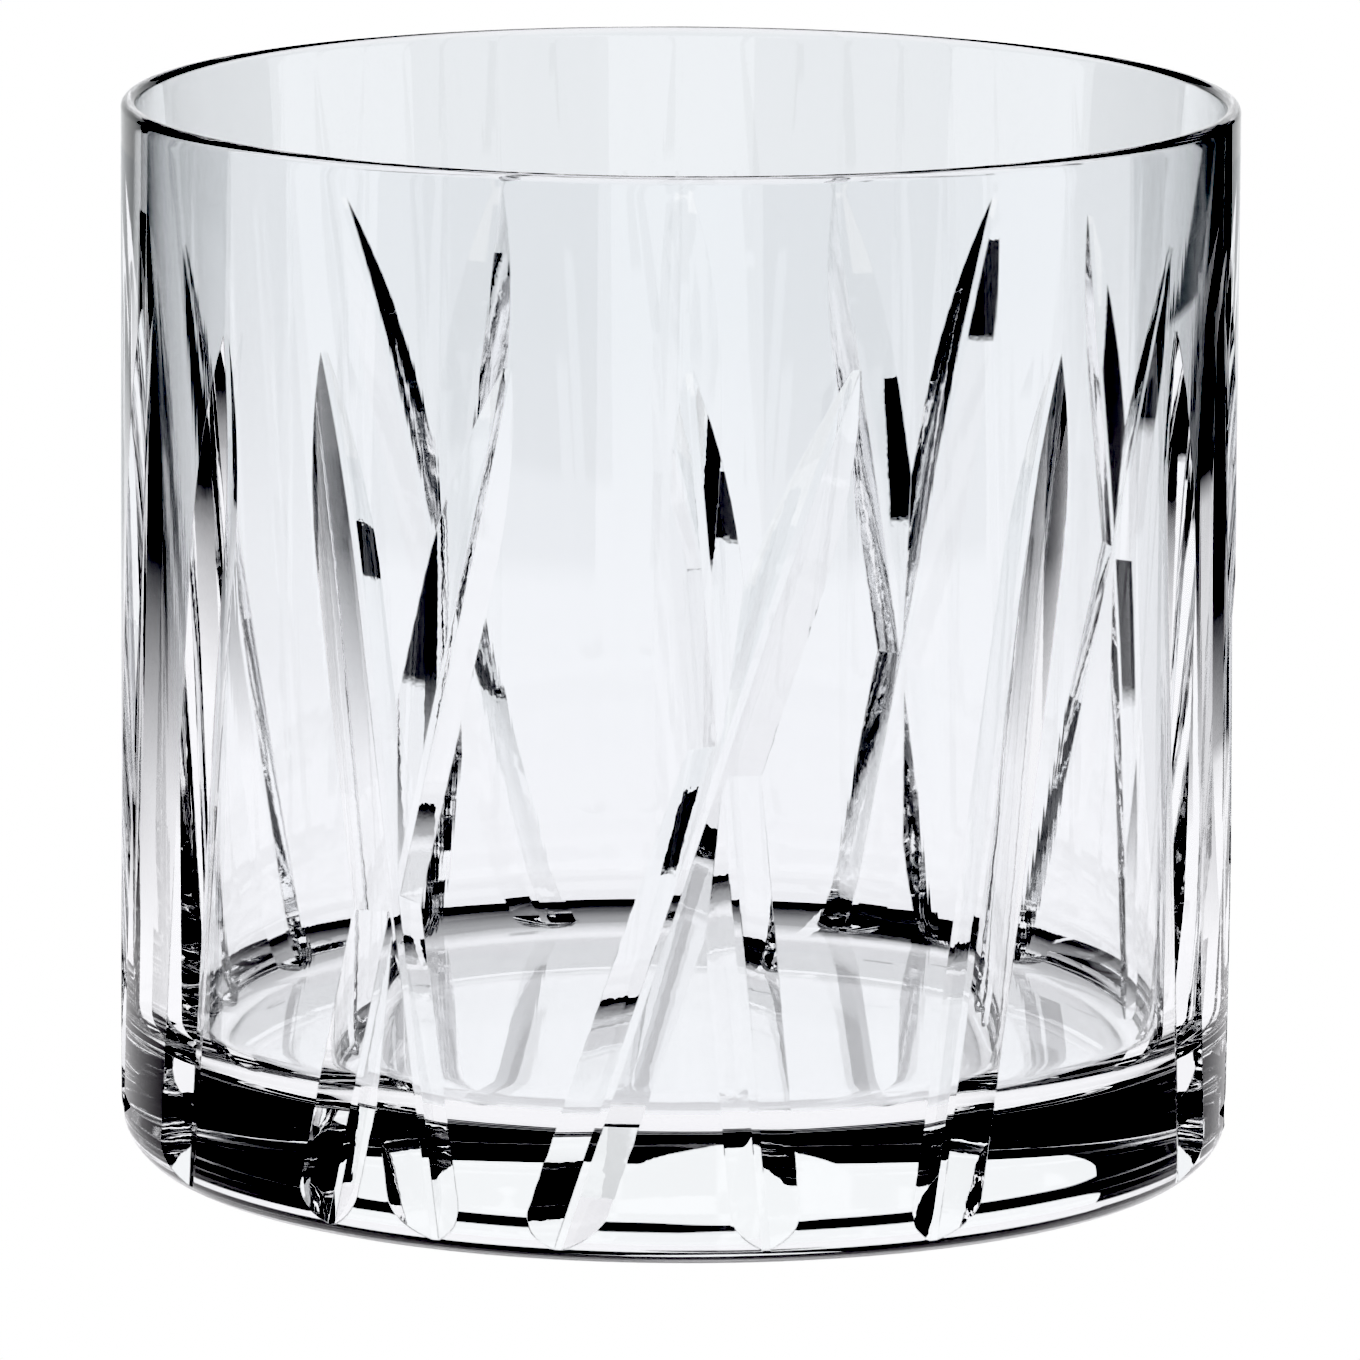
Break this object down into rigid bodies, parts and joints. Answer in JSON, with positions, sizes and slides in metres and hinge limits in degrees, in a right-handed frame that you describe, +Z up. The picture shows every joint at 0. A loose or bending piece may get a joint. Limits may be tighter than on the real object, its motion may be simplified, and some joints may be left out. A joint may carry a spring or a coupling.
{
  "type": "whiskey tumbler",
  "caption": "Clear cut-crystal whiskey tumbler: straight cylindrical wall, thick base with a rounded heel, and slanted wheel-cut V grooves that cross round the outside.",
  "frame": {"origin": "middle of the flat underside of the base, on the surface that the glass stands on", "axes": "+Z up along the axis of the glass towards the lip; the front of the glass faces -Y; +X to the right seen from the front"},
  "size_m": [0.09, 0.09, 0.0868],
  "materials": {
    "crystal": "clear polished crystal with a slightly waved polish inside the wheel-cut grooves"
  },
  "bodies": {
    "root": {"tumbler": "crystal"}
  },
  "joints": []
}
